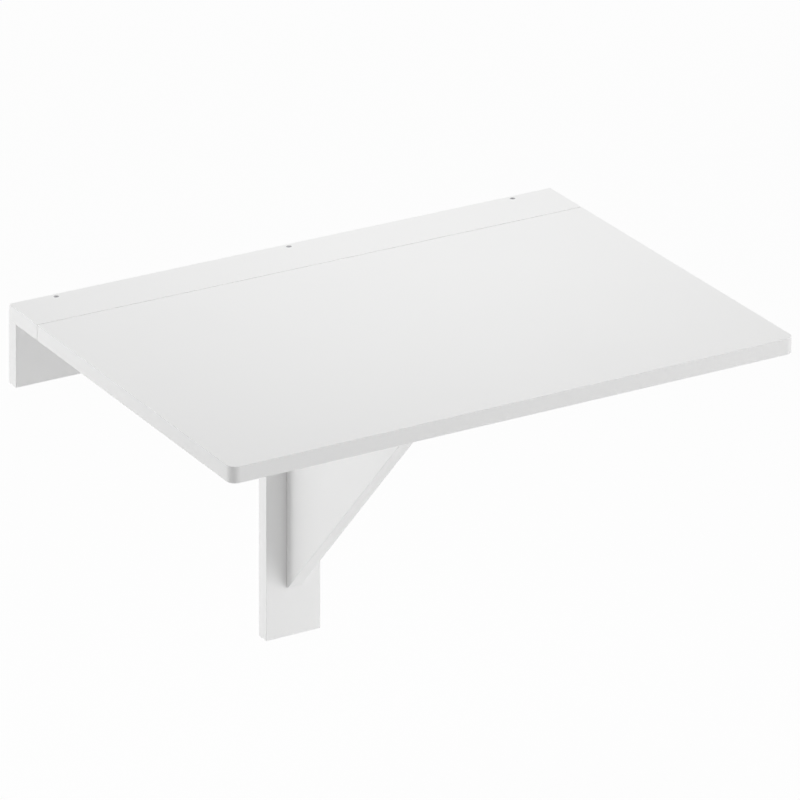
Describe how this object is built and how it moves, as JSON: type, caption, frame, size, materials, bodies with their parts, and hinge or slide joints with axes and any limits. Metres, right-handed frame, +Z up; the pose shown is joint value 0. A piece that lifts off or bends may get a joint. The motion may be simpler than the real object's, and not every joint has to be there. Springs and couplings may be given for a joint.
{
  "type": "wall mounted drop leaf table",
  "caption": "Wall mounted table: a rail and post fix to the wall, a hinged leaf continues a fixed strip, and a three-cornered bracket swings out under the leaf.",
  "frame": {"origin": "on the wall face, at the middle of the wall rail and of its wall holes", "axes": "+X along the wall to the right as seen from the room, +Y into the wall, +Z up; the table reaches out to -Y"},
  "size_m": [0.8, 0.6, 0.5],
  "materials": {
    "white_board": "smooth white satin lacquer on board",
    "stop_plastic": "matte moulded",
    "hinge_steel": "satin plated",
    "screw_steel": "dull plated",
    "dowel_wood": "bare beech"
  },
  "bodies": {
    "wall_frame": {"wall_rail": "white_board", "top_strip": "white_board", "wall_post": "white_board", "leaf_hinge_1_strip_plate": "hinge_steel", "leaf_hinge_1_pin": "hinge_steel", "leaf_hinge_2_strip_plate": "hinge_steel", "leaf_hinge_2_pin": "hinge_steel", "leaf_hinge_3_strip_plate": "hinge_steel", "leaf_hinge_3_pin": "hinge_steel", "leaf_hinge_4_strip_plate": "hinge_steel", "leaf_hinge_4_pin": "hinge_steel", "bracket_hinge_upper_post_plate": "hinge_steel", "bracket_hinge_upper_pin": "hinge_steel", "bracket_hinge_lower_post_plate": "hinge_steel", "bracket_hinge_lower_pin": "hinge_steel", "top_screws": "screw_steel", "strip_plate_screws": "screw_steel", "post_plate_screws": "screw_steel", "post_dowels": "dowel_wood"},
    "leaf": {"drop_leaf": "white_board", "bracket_stop": "stop_plastic", "leaf_hinge_1_leaf_plate": "hinge_steel", "leaf_hinge_2_leaf_plate": "hinge_steel", "leaf_hinge_3_leaf_plate": "hinge_steel", "leaf_hinge_4_leaf_plate": "hinge_steel", "leaf_plate_screws": "screw_steel", "bracket_stop_screws": "screw_steel"},
    "bracket": {"swing_bracket": "white_board", "bracket_hinge_upper_bracket_plate": "hinge_steel", "bracket_hinge_lower_bracket_plate": "hinge_steel", "bracket_plate_screws": "screw_steel"}
  },
  "joints": [
    {"name": "bracket_swing", "type": "hinge", "parent": "wall_frame", "child": "bracket", "pos_m": [0.0128, -0.0228, -0.2], "axis": [0, 0, 1], "range_deg": [0, 90]},
    {"name": "leaf_lift", "type": "hinge", "parent": "wall_frame", "child": "leaf", "pos_m": [0, -0.0804, 0.0372], "axis": [-1, 0, 0], "range_deg": [0, 1.5]}
  ]
}
